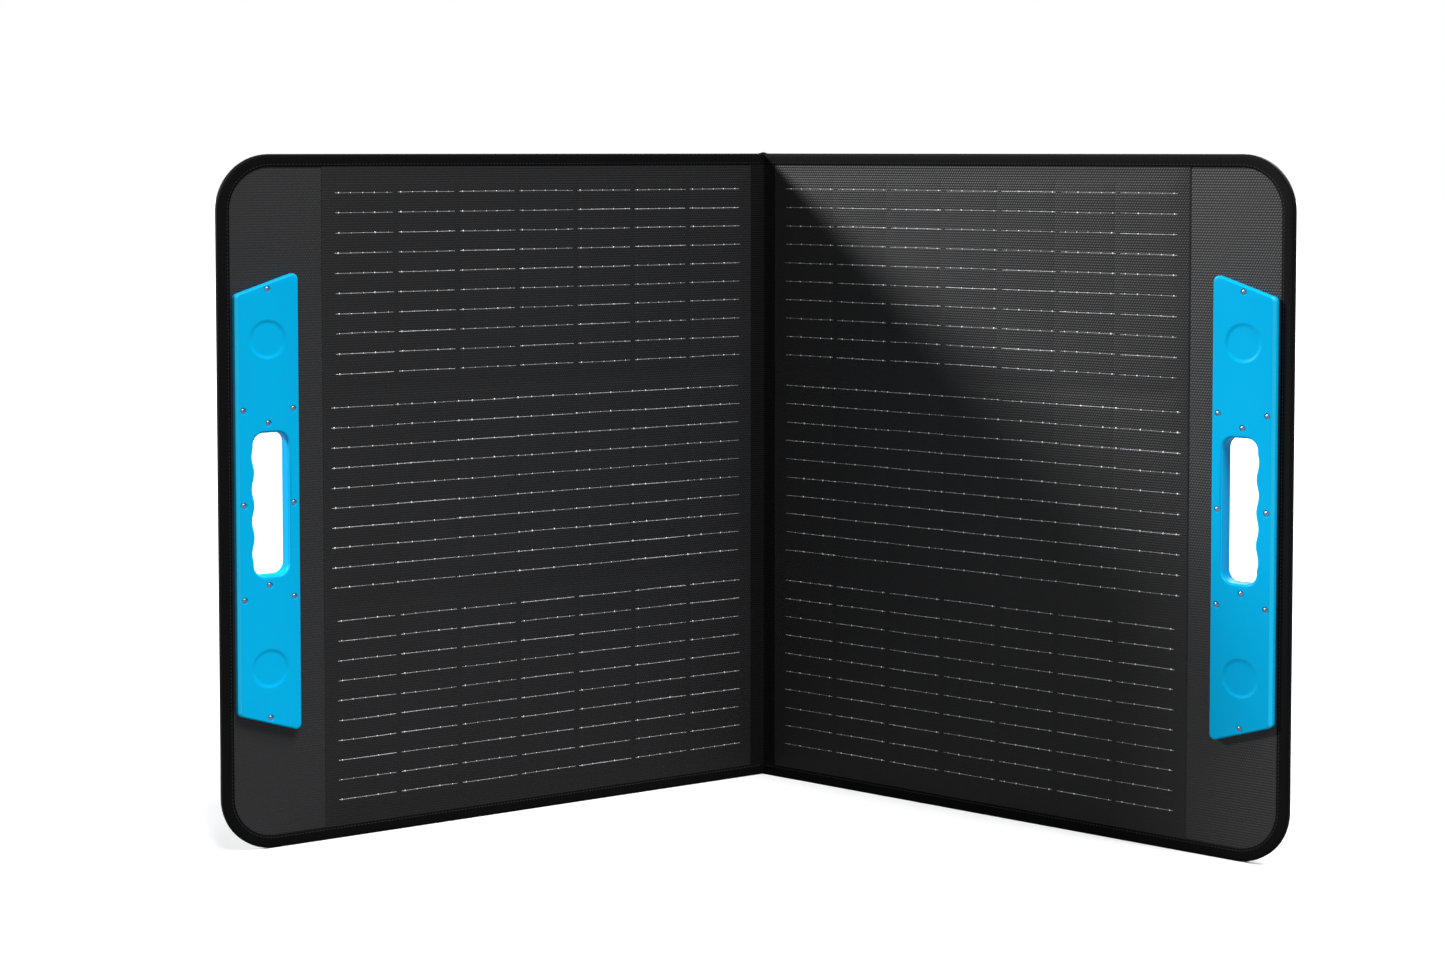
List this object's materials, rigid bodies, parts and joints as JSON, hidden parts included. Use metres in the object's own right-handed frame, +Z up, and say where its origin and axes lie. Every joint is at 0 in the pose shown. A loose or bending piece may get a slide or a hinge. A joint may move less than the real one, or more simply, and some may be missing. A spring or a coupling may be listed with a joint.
{
  "type": "folding solar panel",
  "caption": "Two-leaf folding solar panel with cloth-covered leaves, a cloth spine, moulded carrying handles, rear prop stands, a rear pocket and a charge regulator.",
  "frame": {"origin": "bottom centre of the box round the panel as it stands half open", "axes": "+X to the right across both leaves, +Y from the cell faces to the back, +Z up along the fold"},
  "size_m": [0.942, 0.331, 0.622],
  "materials": {
    "board": "plain stiff board",
    "face_cloth": "fine woven black cloth with a faint glint",
    "rear_cloth": "woven black polyester",
    "spine_cloth": "black cloth with fine ribs",
    "binding_tape": "black woven tape",
    "webbing": "black ribbed webbing",
    "hook_loop": "black hook and loop pile",
    "backsheet": "black laminate sheet",
    "film": "embossed dark film over the cells",
    "cell": "dark silicon",
    "ribbon": "thin tinned strip",
    "copper": "tinned copper",
    "handle_plastic": "bright blue moulded plastic with a satin face",
    "screw_steel": "small dome-headed steel screws",
    "magnet": "plated magnet",
    "box_plastic": "black textured plastic",
    "circuit_board": "green circuit board",
    "socket_steel": "plated steel shell",
    "light_lens": "clear green lens",
    "rubber": "soft black rubber"
  },
  "bodies": {
    "left_leaf": {"left_core_board": "board", "left_face_fabric": "face_cloth", "left_rear_cover": "rear_cloth", "left_binding": "binding_tape", "left_backsheet": "backsheet", "left_bus_strips": "copper", "left_cells": "cell", "left_ribbons": "ribbon", "left_film": "film", "left_handle_front": "handle_plastic", "left_handle_rear": "handle_plastic", "left_handle_screws": "screw_steel", "left_handle_magnets": "magnet", "left_stand_hinge_tape": "webbing", "left_stand_straps": "webbing", "left_stand_loop_pad": "hook_loop", "spine_web": "spine_cloth", "spine_cover": "spine_cloth", "spine_binding": "binding_tape", "link_cables": "copper"},
    "right_leaf": {"right_core_board": "board", "right_face_fabric": "face_cloth", "right_rear_cover": "rear_cloth", "right_binding": "binding_tape", "right_backsheet": "backsheet", "right_bus_strips": "copper", "right_cells": "cell", "right_ribbons": "ribbon", "right_film": "film", "right_handle_front": "handle_plastic", "right_handle_rear": "handle_plastic", "right_handle_screws": "screw_steel", "right_handle_magnets": "magnet", "right_stand_hinge_tape": "webbing", "right_stand_straps": "webbing", "right_stand_loop_pad": "hook_loop", "pocket_shell": "rear_cloth", "pocket_flap_tape": "webbing", "pocket_loop_pad": "hook_loop", "regulator_base": "box_plastic", "regulator_lid": "box_plastic", "regulator_board": "circuit_board", "regulator_screws": "screw_steel", "usb_a_socket": "socket_steel", "usb_c_socket": "socket_steel", "status_light": "light_lens", "output_gland": "rubber"},
    "left_stand": {"left_stand_board": "board", "left_stand_cover": "rear_cloth", "left_stand_hook_pad": "hook_loop"},
    "right_stand": {"right_stand_board": "board", "right_stand_cover": "rear_cloth", "right_stand_hook_pad": "hook_loop"},
    "pocket_flap": {"pocket_flap": "rear_cloth", "pocket_hook_pad": "hook_loop"},
    "dust_cap": {"dust_cap": "rubber"}
  },
  "joints": [
    {"name": "leaf_fold", "type": "hinge", "parent": "left_leaf", "child": "right_leaf", "pos_m": [0, 0.15647, 0.311], "axis": [0, 0, 1], "range_deg": [-109.3, 69.7], "deforming": ["spine_web", "spine_cover", "spine_binding", "link_cables"]},
    {"name": "left_stand_hinge", "type": "hinge", "parent": "left_leaf", "child": "left_stand", "pos_m": [-0.20363, 0.02541, 0.4008], "axis": [0.8207, 0.5714, 0], "range_deg": [0, 48], "deforming": ["left_stand_hinge_tape", "left_stand_straps"]},
    {"name": "right_stand_hinge", "type": "hinge", "parent": "right_leaf", "child": "right_stand", "pos_m": [0.20363, 0.02541, 0.4008], "axis": [0.8207, -0.5714, 0], "range_deg": [0, 48], "deforming": ["right_stand_hinge_tape", "right_stand_straps"]},
    {"name": "pocket_flap_hinge", "type": "hinge", "parent": "right_leaf", "child": "pocket_flap", "pos_m": [0.26969, -0.02059, 0.59225], "axis": [0.8207, -0.5714, 0], "range_deg": [0, 80], "deforming": ["pocket_flap_tape"]},
    {"name": "dust_cap_hinge", "type": "hinge", "parent": "right_leaf", "child": "dust_cap", "pos_m": [0.10791, 0.11545, 0.56], "axis": [-0.8207, 0.5714, 0], "range_deg": [0, 120]}
  ]
}
